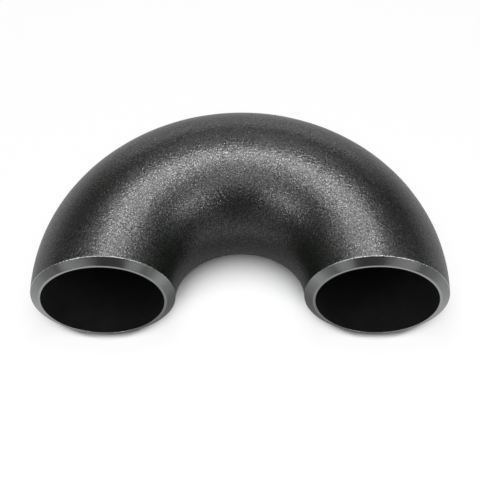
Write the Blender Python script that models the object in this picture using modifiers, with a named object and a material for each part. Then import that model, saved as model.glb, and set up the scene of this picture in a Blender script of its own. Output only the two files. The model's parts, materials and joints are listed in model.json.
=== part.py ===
"""Return bend: a half-circle butt-weld pipe fitting in black-coated carbon steel.

The fitting is one piece of pipe wall. It lies flat, as it would on a floor, with both legs open
towards -Y and the crown at +Y. The origin is on the floor, under the middle of the fitting, and
X = 0 is the plane between the legs. One half is modelled and mirrored across that plane.

The mesh has its own zero on the line between the centres of the two end faces, with the end faces
at Y = 0 and the axes of the legs at Z = 0. The object's location lifts it onto the floor. Lengths
are in metres.
"""

from math import radians, tan

import bmesh
import bpy
from mathutils import Matrix, Vector

# Pipe
OUTSIDE_DIAMETER = 0.1080
WALL = 0.0080
BORE_SHIFT = 0.0003  # forming thins the outside of the bend: the bore lies this far outwards

# Bend
CENTRE_TO_CENTRE = 0.2032  # between the axes of the two legs
STRAIGHT_END = 0.0032  # from each end face to the start of the bend

# Weld preparation of each end
BEVEL_ANGLE = radians(37.5)  # between the bevel and the plane of the end face
ROOT_FACE = 0.0020  # width of the flat ring left round the bore

# Facets
SIDES = 56  # round the pipe
QUARTER_STEPS = 20  # from a leg to the middle of the crown
CREASE_ANGLE = radians(30)  # edges sharper than this are shaded as edges

# Sizes that follow from the ones above
OUTSIDE_RADIUS = OUTSIDE_DIAMETER / 2
BORE_RADIUS = OUTSIDE_RADIUS - WALL
ROOT_RADIUS = BORE_RADIUS + ROOT_FACE
BEND_RADIUS = CENTRE_TO_CENTRE / 2
END_TO_BACK = STRAIGHT_END + BEND_RADIUS + OUTSIDE_RADIUS
LEG_AXIS = Vector((BEND_RADIUS, 0, 0))
BORE_AXIS = Vector((BEND_RADIUS + BORE_SHIFT, 0, 0))
BEVEL_DEPTH = (OUTSIDE_RADIUS - ROOT_RADIUS) * tan(BEVEL_ANGLE)
MERGE_DISTANCE = OUTSIDE_DIAMETER / 10000  # for the cut at the bevel and the seam at X = 0

# Finish: linear colour with alpha, roughness, metallic
COATING = ((0.030, 0.031, 0.033, 1), 0.42, 0.0)
MACHINED_STEEL = ((0.16, 0.16, 0.165, 1), 0.34, 1.0)
COATING_SLOT = 0
MACHINED_SLOT = 1


def clear_scene():
    for old in list(bpy.data.objects):
        bpy.data.objects.remove(old)


def surface(name, finish):
    colour, roughness, metallic = finish
    material = bpy.data.materials.new(name)
    material.use_nodes = True
    shader = material.node_tree.nodes["Principled BSDF"]
    shader.inputs["Base Color"].default_value = colour
    shader.inputs["Roughness"].default_value = roughness
    shader.inputs["Metallic"].default_value = metallic
    material.diffuse_color = colour
    return material


def black_coating():
    return surface("black_coating", COATING)


def machined_steel():
    return surface("machined_steel", MACHINED_STEEL)


def end_ring(mesh):
    """Edges of the pipe's outer circle in the plane of the end face."""
    upright = Matrix.Translation(LEG_AXIS) @ Matrix.Rotation(radians(90), 4, "X")
    circle = bmesh.ops.create_circle(
        mesh, segments=SIDES, radius=OUTSIDE_RADIUS, matrix=upright
    )
    return list({edge for vert in circle["verts"] for edge in vert.link_edges})


def extruded(mesh, ring):
    """Extrudes a ring of edges in place and returns the new ring's edges and verts."""
    grown = bmesh.ops.extrude_edge_only(mesh, edges=ring)["geom"]
    edges = [part for part in grown if isinstance(part, bmesh.types.BMEdge)]
    verts = [part for part in grown if isinstance(part, bmesh.types.BMVert)]
    return edges, verts


def swept_skin(mesh, ring):
    """Carries an end ring along the straight end and round the bend, to the middle of the crown."""
    edges, verts = extruded(mesh, ring)
    bmesh.ops.translate(mesh, verts=verts, vec=(0, STRAIGHT_END, 0))
    bmesh.ops.spin(
        mesh,
        geom=edges,
        cent=(0, STRAIGHT_END, 0),
        axis=(0, 0, 1),
        angle=radians(90),
        steps=QUARTER_STEPS,
    )


def cut_back(mesh):
    """Cuts the outer skin back to the line where the bevel meets it, and returns that ring.

    The bevel is a cone about the bore's axis, which lies off the pipe's own axis, so the line
    slopes a little: the bevel is longer on the inside of the bend.
    """
    slope = BORE_SHIFT * tan(BEVEL_ANGLE) / OUTSIDE_RADIUS
    cut = bmesh.ops.bisect_plane(
        mesh,
        geom=mesh.verts[:] + mesh.edges[:] + mesh.faces[:],
        plane_co=LEG_AXIS + Vector((0, BEVEL_DEPTH, 0)),
        plane_no=(slope, 1, 0),
        dist=MERGE_DISTANCE,
        clear_inner=True,
    )
    return [part for part in cut["geom_cut"] if isinstance(part, bmesh.types.BMEdge)]


def drawn_in(mesh, ring, radius):
    """Extrudes a ring to a circle round the bore's axis in the end face, and returns that circle."""
    edges, verts = extruded(mesh, ring)
    for vert in verts:
        spoke = vert.co - BORE_AXIS
        spoke.y = 0
        vert.co = BORE_AXIS + spoke.normalized() * radius
    return edges


def half_bend():
    """One leg and its quarter of the circle, open at X = 0."""
    mesh = bmesh.new()
    swept_skin(mesh, end_ring(mesh))
    bevel_ring = cut_back(mesh)
    skin = set(mesh.faces)
    root_ring = drawn_in(mesh, bevel_ring, ROOT_RADIUS)
    bore_ring = drawn_in(mesh, root_ring, BORE_RADIUS)
    for face in set(mesh.faces) - skin:
        face.material_index = MACHINED_SLOT
    swept_skin(mesh, bore_ring)
    bmesh.ops.recalc_face_normals(mesh, faces=mesh.faces[:])
    return mesh


def return_bend(collection):
    data = bpy.data.meshes.new("return_bend")
    half = half_bend()
    half.to_mesh(data)
    half.free()
    data.materials.append(black_coating())
    data.materials.append(machined_steel())
    data.shade_smooth()
    data.set_sharp_from_angle(angle=CREASE_ANGLE)
    bend = bpy.data.objects.new("return_bend", data)
    bend.location = (0, -END_TO_BACK / 2, OUTSIDE_RADIUS)
    collection.objects.link(bend)
    mirror = bend.modifiers.new("other_half", "MIRROR")
    mirror.use_axis = (True, False, False)
    mirror.use_clip = True
    mirror.merge_threshold = MERGE_DISTANCE
    return bend


def main():
    clear_scene()
    collection = bpy.data.collections.new("return_bend_fitting")
    bpy.context.scene.collection.children.link(collection)
    return_bend(collection)


main()
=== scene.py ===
"""Return bend: the finished surface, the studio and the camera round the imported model.

The bend lies on the floor at Z = 0, with both open ends facing -Y and the crown at +Y. X = 0 is
the plane between its legs. Lengths are in metres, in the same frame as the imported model.
"""

import json
from math import cos, pi, radians, sin, tan
from typing import NamedTuple

import bmesh
import bpy
from bpy.props import FloatProperty, FloatVectorProperty, IntProperty, PointerProperty
from bpy.types import Operator, Panel, PropertyGroup
from mathutils import Matrix, Vector, noise


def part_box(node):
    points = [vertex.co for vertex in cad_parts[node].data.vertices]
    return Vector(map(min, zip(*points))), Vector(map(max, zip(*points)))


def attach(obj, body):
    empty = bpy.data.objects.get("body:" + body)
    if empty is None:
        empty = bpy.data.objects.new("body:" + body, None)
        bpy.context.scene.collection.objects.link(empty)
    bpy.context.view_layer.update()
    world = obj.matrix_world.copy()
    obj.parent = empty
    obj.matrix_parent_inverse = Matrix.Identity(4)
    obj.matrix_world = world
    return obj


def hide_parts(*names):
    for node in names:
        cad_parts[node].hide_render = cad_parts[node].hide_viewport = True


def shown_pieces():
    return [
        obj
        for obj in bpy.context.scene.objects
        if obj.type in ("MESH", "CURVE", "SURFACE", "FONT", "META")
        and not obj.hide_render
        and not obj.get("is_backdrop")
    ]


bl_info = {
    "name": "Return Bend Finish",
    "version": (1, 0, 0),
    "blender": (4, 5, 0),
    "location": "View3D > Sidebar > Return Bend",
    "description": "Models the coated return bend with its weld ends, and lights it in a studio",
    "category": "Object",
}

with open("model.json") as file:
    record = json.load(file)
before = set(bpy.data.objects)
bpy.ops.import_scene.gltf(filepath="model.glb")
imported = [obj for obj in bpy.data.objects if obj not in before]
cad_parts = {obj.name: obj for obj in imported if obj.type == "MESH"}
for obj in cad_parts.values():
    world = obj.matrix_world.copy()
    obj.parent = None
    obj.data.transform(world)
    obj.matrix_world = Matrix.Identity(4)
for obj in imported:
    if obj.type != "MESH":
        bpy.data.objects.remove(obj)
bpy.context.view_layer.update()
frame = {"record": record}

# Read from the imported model
LOW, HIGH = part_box("return_bend")
RIGHT_END = next(m for m in frame["record"]["mounts"] if m["name"] == "right_end")
OUTSIDE_RADIUS = (HIGH.z - LOW.z) / 2
AXIS_HEIGHT = (LOW.z + HIGH.z) / 2
END_FACE = LOW.y
BORE_AXIS = RIGHT_END["pos_m"][0]
ROOT_MIDDLE = RIGHT_END["pos_m"][2] - AXIS_HEIGHT  # radius of the middle of the root face

# Zones of the surface, in the order of the object's material slots
COATED, BEVELLED, ROOT, INSIDE = range(4)

MERGE_DISTANCE = 0.00001
ROOT_SUPPORT = 0.0004  # from the edges of the root face to the rings that keep it flat
SUPPORT_DEPTHS = (0.0006, 0.0039, 0.0058)  # cuts across the weld end that keep its faces true

UPRIGHT = Matrix.Rotation(radians(90), 4, "X")  # stands a flat circle up across a leg
CREASE_ANGLE = radians(30)  # edges sharper than this are shaded as edges
HOLLOW_FRACTAL = (0.6, 2, 3)  # dimension, lacunarity and octaves of the shallow hollows

NOISE_MIDDLE = 0.5
BLEND_MIDDLE = 0.5  # halfway between two blended colours

# Black coating: sizes in metres
COATING_PATCH = 0.035
COATING_SPECK = 0.0028
COATING_WEIGHTS = (1.2, 0.8)  # of patches and specks
GLINT_LEVELS = (0.50, 0.80)  # of the noise, between which a peak turns shiny
CHIP_SIZE = 2.2  # of the chips along the worn edge, in worn widths
CHIP_REACH = 3  # how far the chips reach across the edge, in worn widths
CHIP_BORDER = 0.00012  # width over which a chip's border fades
WORN_POLISH = 0.08  # the bared metal is this much less rough

# Bare steel and scale: sizes in metres
MARK_DRIFT = 0.2  # how fast the tool marks change along the second axis of their noise
STEEL_STAIN = 0.006
STEEL_WEIGHTS = (0.5, 0.6)  # of tool marks and stains
STEEL_CHANGE = 0.2  # share by which the steel's colour varies
SCALE_PATCH = 0.012
SCALE_FLAKE = 0.0020
SCALE_WEIGHTS = (1.4, 0.8)  # of patches and flakes
SCALE_CHANGE = 0.4  # share by which the scale's colour varies
SCALE_GLOSS = 0.25
FLAKE_HEIGHT = 0.00006
ROUGHNESS_CHANGE = 0.15  # of steel and scale, from place to place

# Round floor, curved up all round into a low backdrop
FLOOR_SIDES = 96
FLOOR_RADIUS = 2.9
SWEEP_RADIUS = 0.3
BACKDROP_HEIGHT = 0.65
SWEEP_STEPS = 8

# Where the floor shows the bend's shadow: none at the first distance, all at the second
SHADOW_INNER = (0.022, 0.075)  # from the point midway between the ends
SHADOW_OUTER = (0.17, 0.13)  # from the same point
SHADOW_GLOW = 0.05  # share of glow that is left in the shadow
# Under the skin it also starts this far behind the ends: a share of the gap there, less a length
CONTACT_START = (0.54, 0.0026)
CONTACT_FULL = (1.6, 0.0002)  # the same, for where it is all there

# Where reflections show the floor dimmer, and by which share more
NEAR = (0.19, 0.12)  # from the middle of the bend
NEAR_DIMMING = 0.4
END_EDGE = (-0.035, -0.004)  # along Y, from the plane of the ends
END_EDGE_DIMMING = 0.25
AROUND = (0.20, 0.45)  # from the middle of the bend
FORWARD = (0.15, -0.10)  # along Y
AROUND_DIMMING = 0.52
DISTANT = (0.7, 1.3)  # from the middle of the bend
DISTANT_DIMMING = 0.5

SENSOR_WIDTH = 36  # of the camera, in millimetres


class BendSizes(PropertyGroup):
    """Sizes of the fitting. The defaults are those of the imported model."""

    bore_shift: FloatProperty(
        name="Bore shift",
        description="How far forming has moved the bore towards the outside of the bend",
        default=0.0003,
        unit="LENGTH",
    )
    root_face: FloatProperty(
        name="Root face",
        description="Width of the flat ring left round the bore",
        default=0.0020,
        unit="LENGTH",
    )
    bevel_angle: FloatProperty(
        name="Bevel angle",
        description="Between the weld bevel and the plane of the end face",
        default=radians(37.5),
        subtype="ANGLE",
    )
    skin_inset: FloatProperty(
        name="Skin inset",
        description="The round skin runs this far inside the corners of the faceted solid",
        default=0.00005,
        unit="LENGTH",
    )
    unevenness: FloatProperty(
        name="Unevenness",
        description="Depth of the shallow hollows that forming leaves in the skin",
        default=0.00007,
        unit="LENGTH",
    )
    hollow_size: FloatProperty(
        name="Hollow size",
        description="Distance from one shallow hollow to the next",
        default=0.020,
        unit="LENGTH",
    )
    worn_edge: FloatProperty(
        name="Worn edge",
        description="Radius of the edge between the skin and the bevel",
        default=0.0008,
        unit="LENGTH",
    )
    root_edge: FloatProperty(
        name="Root edge",
        description="Radius of the edges on both sides of the root face",
        default=0.00025,
        unit="LENGTH",
    )
    sides: IntProperty(
        name="Sides",
        description="Facets round the pipe",
        default=192,
        min=24,
    )
    skin_steps: IntProperty(
        name="Skin steps",
        description="Facets of the skin from a leg to the middle of the crown",
        default=96,
        min=8,
    )
    bore_steps: IntProperty(
        name="Bore steps",
        description="Facets of the bore from a leg to the middle of the crown",
        default=60,
        min=8,
    )
    edge_segments: IntProperty(
        name="Edge segments",
        description="Facets across each rounded edge",
        default=4,
        min=1,
    )


class CoatingFinish(PropertyGroup):
    """The black coating of the skin."""

    colour: FloatVectorProperty(
        name="Colour",
        description="Colour of the coating",
        default=(0.0048, 0.0064, 0.0046),
        subtype="COLOR",
    )
    colour_change: FloatProperty(
        name="Colour change",
        description="Share by which the colour varies from place to place",
        default=0.35,
        subtype="FACTOR",
    )
    roughness: FloatProperty(
        name="Roughness",
        description="Roughness of the coating, apart from its grain",
        default=0.28,
        subtype="FACTOR",
    )
    roughness_change: FloatProperty(
        name="Roughness change",
        description="How much the roughness varies from place to place",
        default=0.06,
        subtype="FACTOR",
    )
    gloss: FloatProperty(
        name="Gloss",
        description="Specular level of the coating, where 0.5 is a plain plastic",
        default=0.5,
        subtype="FACTOR",
    )
    glint_colour: FloatVectorProperty(
        name="Glint colour",
        description="Reflection of the small shiny peaks of the grain",
        default=(0.317, 0.316, 0.317),
        subtype="COLOR",
    )
    glint_size: FloatProperty(
        name="Glint size",
        description="Distance from one shiny peak to the next",
        default=0.00045,
        unit="LENGTH",
    )
    grain_size: FloatProperty(
        name="Grain size",
        description="Width of one wrinkle of the coating's grain",
        default=0.0014,
        unit="LENGTH",
    )
    grain_height: FloatProperty(
        name="Grain height",
        description="Height of the grain",
        default=0.0003,
        unit="LENGTH",
    )
    worn_width: FloatProperty(
        name="Worn width",
        description="How far from the rounded edge chips bare the metal",
        default=0.0005,
        unit="LENGTH",
    )


class SteelFinish(PropertyGroup):
    """The bare steel of the weld ends and the scale in the bore."""

    bevel_colour: FloatVectorProperty(
        name="Bevel colour",
        description="Reflection of the machined bevel",
        default=(0.345, 0.349, 0.353),
        subtype="COLOR",
    )
    root_colour: FloatVectorProperty(
        name="Root face colour",
        description="Reflection of the root face",
        default=(0.48, 0.48, 0.48),
        subtype="COLOR",
    )
    bevel_roughness: FloatProperty(
        name="Bevel roughness",
        description="Roughness of the machined bevel, apart from its tool marks",
        default=0.20,
        subtype="FACTOR",
    )
    root_roughness: FloatProperty(
        name="Root face roughness",
        description="Roughness of the root face, apart from its tool marks",
        default=0.26,
        subtype="FACTOR",
    )
    worn_colour: FloatVectorProperty(
        name="Worn colour",
        description="Reflection of bright metal on the worn edge",
        default=(0.60, 0.60, 0.59),
        subtype="COLOR",
    )
    groove_pitch: FloatProperty(
        name="Groove pitch",
        description="Distance between the marks that the cutting tool leaves",
        default=0.00035,
        unit="LENGTH",
    )
    groove_depth: FloatProperty(
        name="Groove depth",
        description="Depth of the tool's marks",
        default=0.000004,
        unit="LENGTH",
    )
    bore_colour: FloatVectorProperty(
        name="Bore colour",
        description="Colour of the dark scale in the bore",
        default=(0.0150, 0.0150, 0.0150),
        subtype="COLOR",
    )
    bore_roughness: FloatProperty(
        name="Bore roughness",
        description="Roughness of the scale in the bore, apart from its flakes",
        default=0.62,
        subtype="FACTOR",
    )


class StudioLook(PropertyGroup):
    """The floor, the lamps and the camera."""

    floor_colour: FloatVectorProperty(
        name="Floor colour",
        description="Colour of the floor and the backdrop",
        default=(0.86, 0.86, 0.865),
        subtype="COLOR",
    )
    open_glow: FloatProperty(
        name="Open glow",
        description="Share of glow in the white of the floor round the bend, outside its shadow",
        default=0.85,
        subtype="FACTOR",
    )
    reflected_share: FloatProperty(
        name="Reflected share",
        description="Brightness of the floor round the bend in reflections, against its own",
        default=0.62,
        subtype="FACTOR",
    )
    pool_radius: FloatProperty(
        name="Pool radius",
        description="Radius of the floor that the lamp alone lights, round the bend",
        default=0.30,
        unit="LENGTH",
    )
    glow_radius: FloatProperty(
        name="Glow radius",
        description="Radius at which the floor's white is all glow",
        default=0.80,
        unit="LENGTH",
    )
    light_level: FloatProperty(
        name="Light level",
        description="Factor on the light of every lamp",
        default=1.0,
    )
    room_light: FloatProperty(
        name="Room light",
        description="Strength of the dim light from all round",
        default=0.077,
    )
    target: FloatVectorProperty(
        name="Target",
        description="Point at the middle of the picture",
        default=(-0.00034, -0.02591, 0.0540),
        subtype="TRANSLATION",
    )
    distance: FloatProperty(
        name="Distance",
        description="From the camera to the target",
        default=2.0185,
        unit="LENGTH",
    )
    elevation: FloatProperty(
        name="Elevation",
        description="Angle at which the camera looks down",
        default=radians(56.975),
        subtype="ANGLE",
    )
    azimuth: FloatProperty(
        name="Azimuth",
        description="Turn of the camera round the bend",
        default=radians(-1.94),
        subtype="ANGLE",
    )
    roll: FloatProperty(
        name="Roll",
        description="Turn of the camera about its own line of sight",
        default=radians(-1.706),
        subtype="ANGLE",
    )
    lens: FloatProperty(
        name="Lens",
        description="Focal length in millimetres, for a sensor 36 mm wide",
        default=201.68,
    )


class Cloud(NamedTuple):
    """Fineness of cloudy noise."""

    detail: float
    roughness: float = 0.5
    distortion: float = 0.0


class Signal:
    """An output of a shader node. Arithmetic on it adds Math nodes."""

    def __init__(self, shader, node, output=0):
        self.shader = shader
        self.node = node
        self.output = output

    def to(self, socket):
        """Links this output to a socket of another node."""
        self.shader.tree.links.new(self.node.outputs[self.output], socket)

    def __getitem__(self, output):
        return Signal(self.shader, self.node, output)

    def math(self, operation, *terms):
        settings = {"operation": operation}
        return self.shader.node("ShaderNodeMath", settings, dict(enumerate(terms)))

    def __add__(self, other):
        return self.math("ADD", self, other)

    def __sub__(self, other):
        return self.math("SUBTRACT", self, other)

    def __rsub__(self, other):
        return self.math("SUBTRACT", other, self)

    def __mul__(self, other):
        return self.math("MULTIPLY", self, other)

    def __pow__(self, other):
        return self.math("POWER", self, other)

    def __abs__(self):
        return self.math("ABSOLUTE", self)

    def at_most(self, limit):
        return self.math("MINIMUM", self, limit)

    __radd__ = __add__
    __rmul__ = __mul__


class Shader:
    """Adds nodes to the shader of a material or a world."""

    def __init__(self, owner):
        owner.use_nodes = True
        self.tree = owner.node_tree
        self.tree.nodes.clear()

    def node(self, kind, settings, sockets):
        """Adds a node, applies its settings, then the values or links of its sockets."""
        node = self.tree.nodes.new(kind)
        for name, value in settings.items():
            setattr(node, name, value)
        for name, value in sockets.items():
            if isinstance(value, Signal):
                value.to(node.inputs[name])
            else:
                node.inputs[name].default_value = value
        return Signal(self, node)

    def place(self):
        """Each point's place in the scene, in metres."""
        return self.node("ShaderNodeTexCoord", {}, {})["Object"]

    def axes(self, place):
        """The parts of a place along X, Y and Z."""
        return self.node("ShaderNodeSeparateXYZ", {}, {"Vector": place})

    def noise(self, place, size, cloud):
        """Noise about NOISE_MIDDLE, whose patches are about size across."""
        sockets = {
            "Vector": place,
            "Scale": 1 / size,
            "Detail": cloud.detail,
            "Roughness": cloud.roughness,
            "Distortion": cloud.distortion,
        }
        return self.node("ShaderNodeTexNoise", {}, sockets)

    def ramp(self, value, start, end):
        """0 at start and beyond, 1 at end and beyond, with a smooth rise between them."""
        settings = {"interpolation_type": "SMOOTHSTEP"}
        sockets = {"Value": value, "From Min": start, "From Max": end}
        return self.node("ShaderNodeMapRange", settings, sockets)

    def blend(self, factor, first, second):
        """The first colour where the factor is 0, the second where it is 1."""
        sockets = {0: factor, 6: first, 7: second}
        return self.node("ShaderNodeMix", {"data_type": "RGBA"}, sockets)[2]

    def mixed(self, factor, first, second):
        """The first surface where the factor is 0, the second where it is 1."""
        return self.node("ShaderNodeMixShader", {}, {0: factor, 1: first, 2: second})

    def bump(self, height, depth):
        """A normal for a surface whose height runs from 0 to 1 over a depth in metres."""
        sockets = {"Height": height, "Distance": depth}
        return self.node("ShaderNodeBump", {}, sockets)

    def output(self, kind, surface):
        self.node(kind, {}, {"Surface": surface})


def rgba(colour, factor=1.0):
    return [channel * factor for channel in colour] + [1.0]


def shades(colour, change):
    """A darker and a lighter colour, both this share away from the first."""
    return rgba(colour, 1 - change), rgba(colour, 1 + change)


def mottled(clouds, weights):
    """Change from place to place about 0, from weighted noises."""
    return sum((cloud - NOISE_MIDDLE) * weight for cloud, weight in zip(clouds, weights))


def from_bore_axis(shader, place):
    """Distance of a point of either leg from the axis of its bore, and its depth from the end."""
    axes = shader.axes(place)
    across = abs(axes["X"]) - BORE_AXIS
    up = axes["Z"] - AXIS_HEIGHT
    return (across * across + up * up) ** 0.5, axes["Y"] - END_FACE


def black_coating(coating, steel, sizes):
    """Satin black coating with a fine wrinkled grain, chipped to bright metal along its edge."""
    material = bpy.data.materials.new("black_coating")
    shader = Shader(material)
    place = shader.place()
    patches = shader.noise(place, COATING_PATCH, Cloud(detail=4, roughness=0.6))
    specks = shader.noise(place, COATING_SPECK, Cloud(detail=2))
    mottle = mottled((patches, specks), COATING_WEIGHTS)
    roughness = coating.roughness + mottle * coating.roughness_change

    wrinkles = Cloud(detail=1, roughness=0.4, distortion=0.5)
    grain = shader.noise(place, coating.grain_size, wrinkles)
    peaks = shader.noise(place, coating.glint_size, Cloud(detail=0))
    glints = shader.ramp(peaks, *GLINT_LEVELS)
    wrinkled = shader.bump(grain, coating.grain_height)

    depth = from_bore_axis(shader, place)[1]
    chip_size = coating.worn_width * CHIP_SIZE
    chips = shader.noise(place, chip_size, Cloud(detail=3, roughness=0.7))
    edge = bevel_depth(sizes) + sizes.worn_edge * tan(edge_turn(sizes) / 2)
    border = edge + coating.worn_width * CHIP_REACH * (chips - NOISE_MIDDLE)
    worn = shader.ramp(border - depth, 0.0, CHIP_BORDER)

    dark, light = shades(coating.colour, coating.colour_change)
    paint = shader.node("ShaderNodeBsdfPrincipled", {}, {
        "Base Color": shader.blend(mottle + BLEND_MIDDLE, dark, light),
        "Roughness": roughness,
        "Specular IOR Level": coating.gloss,
        "Normal": wrinkled,
    })
    metal = shader.node("ShaderNodeBsdfPrincipled", {}, {
        "Base Color": shader.blend(worn, rgba(coating.glint_colour), rgba(steel.worn_colour)),
        "Metallic": 1.0,
        "Roughness": roughness - worn * WORN_POLISH,
        "Normal": wrinkled,
    })
    bare = worn + glints * (1 - worn)
    shader.output("ShaderNodeOutputMaterial", shader.mixed(bare, paint, metal))
    return material


def machined(name, colour, roughness, steel, sizes):
    """Turned bare steel: fine tool marks run round the bore, with faint stains."""
    material = bpy.data.materials.new(name)
    shader = Shader(material)
    place = shader.place()
    radius, depth = from_bore_axis(shader, place)
    slant = cos(sizes.bevel_angle)
    along = radius * slant - depth * sin(sizes.bevel_angle)
    rings = shader.node("ShaderNodeCombineXYZ", {}, {"X": along, "Y": radius * MARK_DRIFT})
    marks = shader.noise(rings, steel.groove_pitch, Cloud(detail=3, roughness=0.65))
    stains = shader.noise(place, STEEL_STAIN, Cloud(detail=4, roughness=0.6))
    mottle = mottled((marks, stains), STEEL_WEIGHTS)
    dark, light = shades(colour, STEEL_CHANGE)
    surface = shader.node("ShaderNodeBsdfPrincipled", {}, {
        "Base Color": shader.blend(mottle + BLEND_MIDDLE, dark, light),
        "Metallic": 1.0,
        "Roughness": roughness + mottle * ROUGHNESS_CHANGE,
        "Normal": shader.bump(marks, steel.groove_depth),
    })
    shader.output("ShaderNodeOutputMaterial", surface)
    return material


def bore_scale(steel):
    """Dark mill scale inside the pipe, rough and nearly black."""
    material = bpy.data.materials.new("bore_scale")
    shader = Shader(material)
    place = shader.place()
    patches = shader.noise(place, SCALE_PATCH, Cloud(detail=5, roughness=0.6))
    flakes = shader.noise(place, SCALE_FLAKE, Cloud(detail=3, roughness=0.6))
    mottle = mottled((patches, flakes), SCALE_WEIGHTS)
    dark, light = shades(steel.bore_colour, SCALE_CHANGE)
    surface = shader.node("ShaderNodeBsdfPrincipled", {}, {
        "Base Color": shader.blend(mottle + BLEND_MIDDLE, dark, light),
        "Roughness": steel.bore_roughness + mottle * ROUGHNESS_CHANGE,
        "Specular IOR Level": SCALE_GLOSS,
        "Normal": shader.bump(flakes, FLAKE_HEIGHT),
    })
    shader.output("ShaderNodeOutputMaterial", surface)
    return material


def edge_turn(sizes):
    """Angle through which the surface turns at the edge between the skin and the bevel."""
    return radians(90) - sizes.bevel_angle


def skin_radius(sizes):
    return OUTSIDE_RADIUS - sizes.skin_inset


def root_radius(sizes):
    return ROOT_MIDDLE + sizes.root_face / 2


def bore_radius(sizes):
    return ROOT_MIDDLE - sizes.root_face / 2


def bend_radius(sizes):
    return BORE_AXIS - sizes.bore_shift


def straight_end(sizes):
    """Length of the straight from an end face to the start of the bend."""
    return HIGH.y - LOW.y - OUTSIDE_RADIUS - bend_radius(sizes)


def bevel_depth(sizes):
    """Depth of the bevel along the leg, where it meets the skin."""
    return (skin_radius(sizes) - root_radius(sizes)) * tan(sizes.bevel_angle)


def leg_axis(sizes):
    return Vector((bend_radius(sizes), END_FACE, AXIS_HEIGHT))


def bore_axis():
    return Vector((BORE_AXIS, END_FACE, AXIS_HEIGHT))


def end_ring(mesh, sizes):
    """Starts a mesh with the skin's circle in the plane of the right end face."""
    place = Matrix.Translation(leg_axis(sizes)) @ UPRIGHT
    bmesh.ops.create_circle(mesh, segments=sizes.sides, radius=skin_radius(sizes), matrix=place)
    return mesh.edges[:]


def extruded(mesh, ring):
    """Extrudes a ring of edges in place and returns the new ring's edges and verts."""
    grown = bmesh.ops.extrude_edge_only(mesh, edges=ring)["geom"]
    edges = [part for part in grown if isinstance(part, bmesh.types.BMEdge)]
    verts = [part for part in grown if isinstance(part, bmesh.types.BMVert)]
    return edges, verts


def swept(mesh, ring, sizes, steps):
    """Carries a ring along the straight end and round the bend to the middle of the crown."""
    edges, verts = extruded(mesh, ring)
    bmesh.ops.translate(mesh, verts=verts, vec=(0, straight_end(sizes), 0))
    bmesh.ops.spin(
        mesh,
        geom=edges,
        cent=(0, END_FACE + straight_end(sizes), AXIS_HEIGHT),
        axis=(0, 0, 1),
        angle=radians(90),
        steps=steps,
    )


def sliced(mesh, sizes, depth, slope=0.0, clear=False):
    """Cuts across the leg at a depth from the end face, and returns the edges of the cut."""
    cut = bmesh.ops.bisect_plane(
        mesh,
        geom=mesh.verts[:] + mesh.edges[:] + mesh.faces[:],
        plane_co=leg_axis(sizes) + Vector((0, depth, 0)),
        plane_no=(slope, 1, 0),
        dist=MERGE_DISTANCE,
        clear_inner=clear,
    )
    return [part for part in cut["geom_cut"] if isinstance(part, bmesh.types.BMEdge)]


def drawn_in(mesh, ring, radius):
    """Extrudes a ring to a circle round the bore's axis in the end face, and returns it."""
    edges, verts = extruded(mesh, ring)
    for vert in verts:
        spoke = vert.co - bore_axis()
        spoke.y = 0
        vert.co = bore_axis() + spoke.normalized() * radius
    return edges


def rounded(mesh, ring, radius, turn, segments):
    """Rounds a ring at which the surface turns through an angle, and returns the new faces."""
    made = bmesh.ops.bevel(
        mesh,
        geom=ring,
        offset=radius * tan(turn / 2),
        offset_type="OFFSET",
        segments=segments,
        profile=0.5,
        affect="EDGES",
        material=-1,
        clamp_overlap=False,
    )
    return made["faces"]


def zoned(faces, zone):
    for face in faces:
        face.material_index = zone


def weld_end(mesh, sizes, skin_ring):
    """Bevel and root face of one end. Returns the root face's outer ring and the bore's."""
    before = set(mesh.faces)
    root_ring = drawn_in(mesh, skin_ring, root_radius(sizes))
    zoned(set(mesh.faces) - before, BEVELLED)
    before = set(mesh.faces)
    outer = drawn_in(mesh, root_ring, root_radius(sizes) - ROOT_SUPPORT)
    inner = drawn_in(mesh, outer, bore_radius(sizes) + ROOT_SUPPORT)
    bore_ring = drawn_in(mesh, inner, bore_radius(sizes))
    zoned(set(mesh.faces) - before, ROOT)
    return root_ring, bore_ring


def half_bend(sizes):
    """One leg and its quarter of the circle, open at X = 0."""
    mesh = bmesh.new()
    swept(mesh, end_ring(mesh, sizes), sizes, sizes.skin_steps)
    slope = sizes.bore_shift * tan(sizes.bevel_angle) / skin_radius(sizes)
    skin_ring = sliced(mesh, sizes, bevel_depth(sizes), slope, clear=True)
    root_ring, bore_ring = weld_end(mesh, sizes, skin_ring)
    before = set(mesh.faces)
    swept(mesh, bore_ring, sizes, sizes.bore_steps)
    zoned(set(mesh.faces) - before, INSIDE)
    for depth in SUPPORT_DEPTHS:
        sliced(mesh, sizes, depth)
    turn = edge_turn(sizes)
    worn = rounded(mesh, skin_ring, sizes.worn_edge, turn, sizes.edge_segments)
    zoned(worn, COATED)
    rounded(mesh, root_ring, sizes.root_edge, sizes.bevel_angle, sizes.edge_segments)
    lip = rounded(mesh, bore_ring, sizes.root_edge, radians(90), sizes.edge_segments)
    zoned(lip, ROOT)
    return mesh


def hollowed(mesh, sizes):
    """Presses the skin in by shallow hollows, which fade out towards the weld ends."""
    skin = {vert for face in mesh.faces if face.material_index == COATED for vert in face.verts}
    for vert in skin:
        depth = vert.co.y - END_FACE - bevel_depth(sizes)
        fade = min(1, max(0, depth / sizes.hollow_size))
        swell = noise.fractal(vert.co / sizes.hollow_size, *HOLLOW_FRACTAL)
        vert.co -= vert.normal * sizes.unevenness * fade * min(1, max(0, 0.5 + swell))


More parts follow.
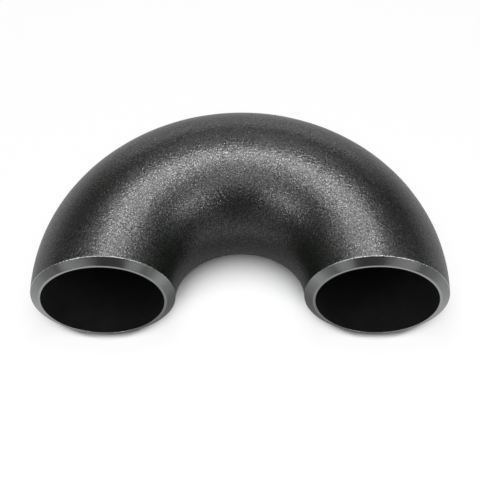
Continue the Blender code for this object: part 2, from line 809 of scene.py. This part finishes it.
def finished_bend(sizes, finishes):
    """The whole bend as one object, with a material for each zone of its surface."""
    mesh = half_bend(sizes)
    whole = mesh.verts[:] + mesh.edges[:] + mesh.faces[:]
    bmesh.ops.mirror(mesh, geom=whole, axis="X", merge_dist=MERGE_DISTANCE)
    bmesh.ops.recalc_face_normals(mesh, faces=mesh.faces[:])
    mesh.normal_update()
    hollowed(mesh, sizes)
    data = bpy.data.meshes.new("finished_bend")
    mesh.to_mesh(data)
    mesh.free()
    for finish in finishes:
        data.materials.append(finish)
    data.shade_smooth()
    data.set_sharp_from_angle(angle=CREASE_ANGLE)
    bend = bpy.data.objects.new("finished_bend", data)
    bpy.context.scene.collection.objects.link(bend)
    return bend


class Softbox(NamedTuple):
    """A rectangular lamp that faces the bend."""

    name: str
    azimuth: float  # degrees from +Y, towards +X
    elevation: float  # degrees above the floor
    distance: float
    width: float
    height: float
    radiance: float


SOFTBOXES = (
    Softbox("overhead_lamp", 0, 78.6, 0.506, 0.40, 0.20, 2.95),
    Softbox("inner_overhead_lamp", 0, 71.5, 0.52, 0.22, 0.17, 2.1),
    Softbox("outer_overhead_lamp", 64, 57, 0.59, 0.13, 0.20, 1.95),
    Softbox("front_overhead_lamp", 180, 71, 0.52, 0.42, 0.30, 1.25),
    Softbox("back_lamp", 0, 41, 1.3, 0.70, 0.30, 1.3),
    Softbox("low_back_lamp", 0, 10, 1.3, 1.30, 0.32, 1.1),
    Softbox("side_lamp", 70, 37, 1.3, 0.38, 0.40, 1.1),
    Softbox("low_side_lamp", 120, 25, 1.3, 0.80, 0.30, 0.5),
    Softbox("front_lamp", 132, 40, 1.3, 0.60, 0.32, 3.8),
    Softbox("low_front_lamp", 150, 10, 0.75, 0.42, 0.20, 0.38),
    Softbox("leg_lamp", 42, 69, 0.31, 0.07, 0.06, 3.7),
)
FLOOR_LAMP = Softbox("floor_lamp", 180, 76, 1.6, 0.5, 1.3, 16.8)


def mirrored(lamps):
    """The lamps on the middle plane as they are, and each of the others on both sides."""
    for lamp in lamps:
        if lamp.azimuth in (0, 180):
            yield lamp
        else:
            yield lamp._replace(name="right_" + lamp.name)
            yield lamp._replace(name="left_" + lamp.name, azimuth=-lamp.azimuth)


def softbox(lamp, level):
    """An area lamp of even radiance, unseen by the camera. Its power follows from its area."""
    data = bpy.data.lights.new(lamp.name, "AREA")
    data.shape = "RECTANGLE"
    data.size = lamp.width
    data.size_y = lamp.height
    data.energy = pi * lamp.width * lamp.height * lamp.radiance * level
    azimuth = radians(lamp.azimuth)
    elevation = radians(lamp.elevation)
    level_part = Vector((sin(azimuth), cos(azimuth), 0)) * cos(elevation)
    towards = level_part + Vector((0, 0, sin(elevation)))
    obj = bpy.data.objects.new(lamp.name, data)
    obj.rotation_mode = "QUATERNION"
    obj.rotation_quaternion = towards.to_track_quat("Z", "Y")
    obj.location = Vector((0, 0, AXIS_HEIGHT)) + towards * lamp.distance
    obj.visible_camera = False
    bpy.context.scene.collection.objects.link(obj)
    return obj


def over_floor(axes, along):
    """Distance over the floor to a point of the middle plane that is this far off along Y."""
    return (axes["X"] * axes["X"] + along * along) ** 0.5


def floor_glow(shader, axes, studio):
    """Share of glow in the floor's white: least in the bend's shadow, between its legs and close
    under its skin, and all of it far away."""
    behind_ends = axes["Y"] - END_FACE
    across = abs(abs(axes["X"]) - BORE_AXIS).at_most(OUTSIDE_RADIUS)
    gap = across * across * (0.5 / OUTSIDE_RADIUS)  # close to the height of the skin above
    start = gap * CONTACT_START[0] - CONTACT_START[1]
    full = gap * CONTACT_FULL[0] - CONTACT_FULL[1]
    from_ends = over_floor(axes, behind_ends)
    legs = shader.ramp(from_ends, *SHADOW_INNER) * shader.ramp(from_ends, *SHADOW_OUTER)
    shadow = legs * shader.ramp(behind_ends, start, full)
    glow = studio.open_glow - (studio.open_glow - SHADOW_GLOW) * shadow
    far = shader.ramp(over_floor(axes, axes["Y"]), studio.pool_radius, studio.glow_radius)
    return glow + far * (1 - glow)


def reflected_part(shader, axes, studio):
    """Brightness of the floor in reflections, against its own."""
    from_middle = over_floor(axes, axes["Y"])
    end_edge = shader.ramp(axes["Y"] - END_FACE, *END_EDGE)
    near = shader.ramp(from_middle, *NEAR) * (NEAR_DIMMING + END_EDGE_DIMMING * end_edge)
    around = shader.ramp(from_middle, *AROUND) * shader.ramp(axes["Y"], *FORWARD)
    part = studio.reflected_share * (1 - near) * (1 - AROUND_DIMMING * around)
    return part * (1 - DISTANT_DIMMING * shader.ramp(from_middle, *DISTANT))


def studio_white(studio):
    """Pale paper, lit by a lamp of its own, and a white glow that only the camera, reflections
    and rays through clear things see. Reflections show both dimmer."""
    material = bpy.data.materials.new("studio_white")
    shader = Shader(material)
    axes = shader.axes(shader.place())
    path = shader.node("ShaderNodeLightPath", {}, {})
    seen = path["Is Camera Ray"] + path["Is Glossy Ray"] + path["Is Transmission Ray"]
    glow = shader.ramp(seen, 0.0, 1.0) * floor_glow(shader, axes, studio)
    paper = shader.node("ShaderNodeBsdfDiffuse", {}, {"Color": rgba(studio.floor_colour)})
    white = shader.mixed(glow, paper, shader.node("ShaderNodeEmission", {}, {}))
    black = shader.node("ShaderNodeEmission", {}, {"Strength": 0.0})
    dimming = path["Is Glossy Ray"] * (1 - reflected_part(shader, axes, studio))
    shader.output("ShaderNodeOutputMaterial", shader.mixed(dimming, white, black))
    return material


def floor_and_backdrop(studio):
    """A round floor whose rim curves up into a low wall."""
    mesh = bmesh.new()
    bmesh.ops.create_circle(
        mesh,
        cap_ends=True,
        segments=FLOOR_SIDES,
        radius=FLOOR_RADIUS,
        matrix=Matrix.Translation((0, 0, LOW.z)),
    )
    ring = mesh.edges[:]
    reach, height = FLOOR_RADIUS, 0.0
    for step in range(1, SWEEP_STEPS + 2):
        angle = radians(90) * min(step, SWEEP_STEPS) / SWEEP_STEPS
        next_reach = FLOOR_RADIUS + SWEEP_RADIUS * sin(angle)
        next_height = SWEEP_RADIUS * (1 - cos(angle))
        if step > SWEEP_STEPS:
            next_height = BACKDROP_HEIGHT
        ring, verts = extruded(mesh, ring)
        grow = next_reach / reach
        bmesh.ops.scale(mesh, verts=verts, vec=(grow, grow, 1))
        bmesh.ops.translate(mesh, verts=verts, vec=(0, 0, next_height - height))
        reach, height = next_reach, next_height
    data = bpy.data.meshes.new("floor_and_backdrop")
    mesh.to_mesh(data)
    mesh.free()
    data.materials.append(studio_white(studio))
    floor = bpy.data.objects.new("floor_and_backdrop", data)
    bpy.context.scene.collection.objects.link(floor)
    return floor


def lights_only(lamp, *things):
    """Lets a lamp light these things and nothing else."""
    lit = bpy.data.collections.new(lamp.name + "_lights")
    for thing in things:
        lit.objects.link(thing)
    lamp.light_linking.receiver_collection = lit


def room(studio):
    """Dim even light from all round."""
    world = bpy.data.worlds.new("room")
    shader = Shader(world)
    sockets = {"Color": rgba((1, 1, 1)), "Strength": studio.room_light}
    shader.output("ShaderNodeOutputWorld", shader.node("ShaderNodeBackground", {}, sockets))
    bpy.context.scene.world = world


def camera(studio):
    """Looks down on the open ends from in front."""
    data = bpy.data.cameras.new("camera")
    data.lens = studio.lens
    data.sensor_width = SENSOR_WIDTH
    down, turn = studio.elevation, studio.azimuth
    line_of_sight = Vector((sin(turn) * cos(down), cos(turn) * cos(down), -sin(down)))
    place = Vector(studio.target) - line_of_sight * studio.distance
    pose = Matrix.Translation(place) @ Matrix.Rotation(-turn, 4, "Z")
    pose = pose @ Matrix.Rotation(radians(90) - down, 4, "X")
    obj = bpy.data.objects.new("camera", data)
    obj.matrix_world = pose @ Matrix.Rotation(studio.roll, 4, "Z")
    bpy.context.scene.collection.objects.link(obj)
    bpy.context.scene.camera = obj


class BEND_OT_finished_bend(Operator):
    """Model the coated skin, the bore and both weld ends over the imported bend"""

    bl_idname = "bend.finished_bend"
    bl_label = "Finished Bend"

    def execute(self, context):
        scene = context.scene
        sizes, coating, steel = scene.bend_sizes, scene.bend_coating, scene.bend_steel
        finishes = (
            black_coating(coating, steel, sizes),
            machined("machined_bevel", steel.bevel_colour, steel.bevel_roughness, steel, sizes),
            machined("root_face", steel.root_colour, steel.root_roughness, steel, sizes),
            bore_scale(steel),
        )
        bend = finished_bend(sizes, finishes)
        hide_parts("return_bend")
        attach(bend, "root")
        return {"FINISHED"}


class BEND_OT_studio(Operator):
    """Set the floor, the lamps, the dim room light and the camera round the bend"""

    bl_idname = "bend.studio"
    bl_label = "Studio"

    def execute(self, context):
        studio = context.scene.bend_studio
        floor = floor_and_backdrop(studio)
        floor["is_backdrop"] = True
        lights_only(softbox(FLOOR_LAMP, studio.light_level), floor)
        shown = [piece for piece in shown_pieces() if piece.type == "MESH"]
        for lamp in mirrored(SOFTBOXES):
            lights_only(softbox(lamp, studio.light_level), *shown)
        room(studio)
        camera(studio)
        context.scene.view_settings.view_transform = "Standard"
        return {"FINISHED"}


class BEND_PT_panel(Panel):
    """Buttons and sizes of the return bend"""

    bl_label = "Return Bend"
    bl_idname = "BEND_PT_panel"
    bl_space_type = "VIEW_3D"
    bl_region_type = "UI"
    bl_category = "Return Bend"

    def draw(self, context):
        for group, operator in PANEL_ROWS:
            box = self.layout.box()
            if operator:
                box.operator(operator)
            values = getattr(context.scene, group)
            for name in values.bl_rna.properties.keys():
                if name not in ("rna_type", "name"):
                    box.prop(values, name)


GROUPS = {
    "bend_sizes": BendSizes,
    "bend_coating": CoatingFinish,
    "bend_steel": SteelFinish,
    "bend_studio": StudioLook,
}
PANEL_ROWS = (
    ("bend_sizes", BEND_OT_finished_bend.bl_idname),
    ("bend_coating", None),
    ("bend_steel", None),
    ("bend_studio", BEND_OT_studio.bl_idname),
)
CLASSES = (*GROUPS.values(), BEND_OT_finished_bend, BEND_OT_studio, BEND_PT_panel)


def register():
    for cls in CLASSES:
        bpy.utils.register_class(cls)
    for name, group in GROUPS.items():
        setattr(bpy.types.Scene, name, PointerProperty(type=group))


def unregister():
    for name in GROUPS:
        delattr(bpy.types.Scene, name)
    for cls in reversed(CLASSES):
        bpy.utils.unregister_class(cls)


def main():
    register()
    bpy.ops.bend.finished_bend()
    bpy.ops.bend.studio()


if __name__ == "__main__":
    main()
